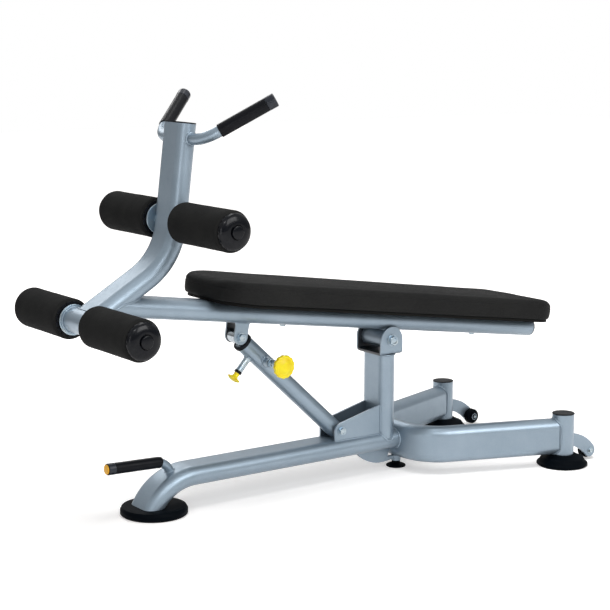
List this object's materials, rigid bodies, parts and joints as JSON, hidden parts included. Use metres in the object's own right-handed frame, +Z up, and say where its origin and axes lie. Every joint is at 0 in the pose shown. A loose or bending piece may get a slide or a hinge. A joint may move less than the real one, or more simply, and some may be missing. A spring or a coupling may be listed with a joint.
{
  "type": "adjustable weight bench",
  "caption": "Adjustable decline bench: padded seat board on a tilting rail, leg-hold column with foam rollers and grab handles, telescopic locking strut, levelled base with transport wheels.",
  "frame": {"origin": "on the floor under the middle of the bench's length and width", "axes": "+Z up; +X lengthwise, from the leg rollers (-X) to the head end of the pad (+X); +Y across, to the user's left when seated facing the leg rollers is -Y"},
  "size_m": [1.508, 0.646, 1.0311],
  "materials": {
    "frame_paint": "silver blue-grey metallic powder coat, glossy",
    "black_rubber": "moulded black rubber, satin",
    "grip_rubber": "black textured rubber sleeve",
    "black_plastic": "glossy black moulded plastic",
    "roller_foam": "closed-cell black foam, matte",
    "pad_vinyl": "black upholstery vinyl, fine grain",
    "black_board": "black-painted plywood",
    "zinc_plate": "bright zinc plate",
    "bright_tube": "hard chrome",
    "yellow_plastic": "yellow moulded plastic"
  },
  "bodies": {
    "base": {"front_foot_pad": "black_rubber", "spine_tube": "frame_paint", "carry_handle_tube": "frame_paint", "carry_handle_grip": "grip_rubber", "carry_handle_plug": "yellow_plastic", "rear_leg_tube": "frame_paint", "upright_post": "frame_paint", "pivot_yoke": "frame_paint", "leveller_gusset": "frame_paint", "pivot_bolt": "zinc_plate", "strut_foot_bolt": "zinc_plate", "rear_post_left": "frame_paint", "rear_post_right": "frame_paint", "rear_post_cap_left": "black_plastic", "rear_post_cap_right": "black_plastic", "rear_foot_left": "black_rubber", "rear_foot_right": "black_rubber", "wheel_arm_left": "frame_paint", "wheel_arm_right": "frame_paint", "strut_bracket_left": "frame_paint", "strut_bracket_right": "frame_paint"},
    "bench": {"seat_rail": "frame_paint", "pad_bolt_front": "zinc_plate", "pad_bolt_rear": "zinc_plate", "seat_rail_cap": "black_plastic", "pivot_barrel": "frame_paint", "pad_board": "black_board", "bench_pad": "pad_vinyl", "strut_clevis": "frame_paint", "clevis_pin": "zinc_plate", "column_tube": "frame_paint", "column_cap": "black_plastic", "upper_roller_axle": "frame_paint", "lower_roller_axle": "frame_paint", "top_handle_left": "frame_paint", "top_handle_right": "frame_paint", "top_grip_left": "grip_rubber", "top_grip_right": "grip_rubber"},
    "strut_outer": {"strut_outer_tube": "frame_paint", "strut_collar": "black_plastic", "strut_foot_bush": "zinc_plate", "pop_pin_housing": "zinc_plate", "pop_pin_bush": "black_plastic", "clamp_boss": "frame_paint"},
    "strut_inner": {"strut_inner_tube": "bright_tube"},
    "pop_pin": {"pop_pin": "zinc_plate", "pop_pin_knob": "yellow_plastic"},
    "clamp_knob": {"clamp_screw": "zinc_plate", "clamp_knob": "yellow_plastic"},
    "levelling_foot": {"levelling_foot": "black_rubber"},
    "upper_roller_left": {"upper_roller_foam_left": "roller_foam", "upper_roller_core_left": "black_plastic"},
    "upper_roller_right": {"upper_roller_foam_right": "roller_foam", "upper_roller_core_right": "black_plastic"},
    "lower_roller_left": {"lower_roller_foam_left": "roller_foam", "lower_roller_core_left": "black_plastic"},
    "lower_roller_right": {"lower_roller_foam_right": "roller_foam", "lower_roller_core_right": "black_plastic"},
    "transport_wheel_left": {"transport_wheel_left": "black_rubber"},
    "transport_wheel_right": {"transport_wheel_right": "black_rubber"}
  },
  "joints": [
    {"name": "bench_tilt", "type": "hinge", "parent": "base", "child": "bench", "pos_m": [0.183, 0, 0.366], "axis": [0, 1, 0], "range_deg": [0, 20]},
    {"name": "strut_swing", "type": "hinge", "parent": "base", "child": "strut_outer", "pos_m": [0.031, 0, 0.136], "axis": [0, 1, 0], "range_deg": [0, 16.7]},
    {"name": "strut_extend", "type": "slide", "parent": "strut_outer", "child": "strut_inner", "axis": [-0.7364, 0, 0.6766], "range_m": [0, 0.0923]},
    {"name": "pop_pin_pull", "type": "slide", "parent": "strut_outer", "child": "pop_pin", "axis": [-0.6766, 0, -0.7364], "range_m": [0, 0.008], "stiffness_N_per_m": 1500, "springref_m": -0.004},
    {"name": "clamp_turn", "type": "hinge", "parent": "strut_outer", "child": "clamp_knob", "pos_m": [-0.19968, -0.06, 0.34796], "axis": [0, 1, 0], "continuous": true},
    {"name": "levelling_foot_turn", "type": "hinge", "parent": "base", "child": "levelling_foot", "pos_m": [0.245, 0, 0.01], "axis": [0, 0, 1], "continuous": true},
    {"name": "upper_roller_spin_left", "type": "hinge", "parent": "bench", "child": "upper_roller_left", "pos_m": [-0.4634, -0.16, 0.724], "axis": [0, 1, 0], "continuous": true},
    {"name": "upper_roller_spin_right", "type": "hinge", "parent": "bench", "child": "upper_roller_right", "pos_m": [-0.4634, 0.16, 0.724], "axis": [0, 1, 0], "continuous": true},
    {"name": "lower_roller_spin_left", "type": "hinge", "parent": "bench", "child": "lower_roller_left", "pos_m": [-0.704, -0.16, 0.497], "axis": [0, 1, 0], "continuous": true},
    {"name": "lower_roller_spin_right", "type": "hinge", "parent": "bench", "child": "lower_roller_right", "pos_m": [-0.704, 0.16, 0.497], "axis": [0, 1, 0], "continuous": true},
    {"name": "wheel_spin_left", "type": "hinge", "parent": "base", "child": "transport_wheel_left", "pos_m": [0.732, -0.239, 0.025], "axis": [0, 1, 0], "continuous": true},
    {"name": "wheel_spin_right", "type": "hinge", "parent": "base", "child": "transport_wheel_right", "pos_m": [0.732, 0.239, 0.025], "axis": [0, 1, 0], "continuous": true}
  ],
  "couplings": [
    {"joint": "strut_swing", "follows": "bench_tilt", "ratio": 0.8338},
    {"joint": "strut_extend", "follows": "bench_tilt", "m_per_rad": 0.26404}
  ]
}
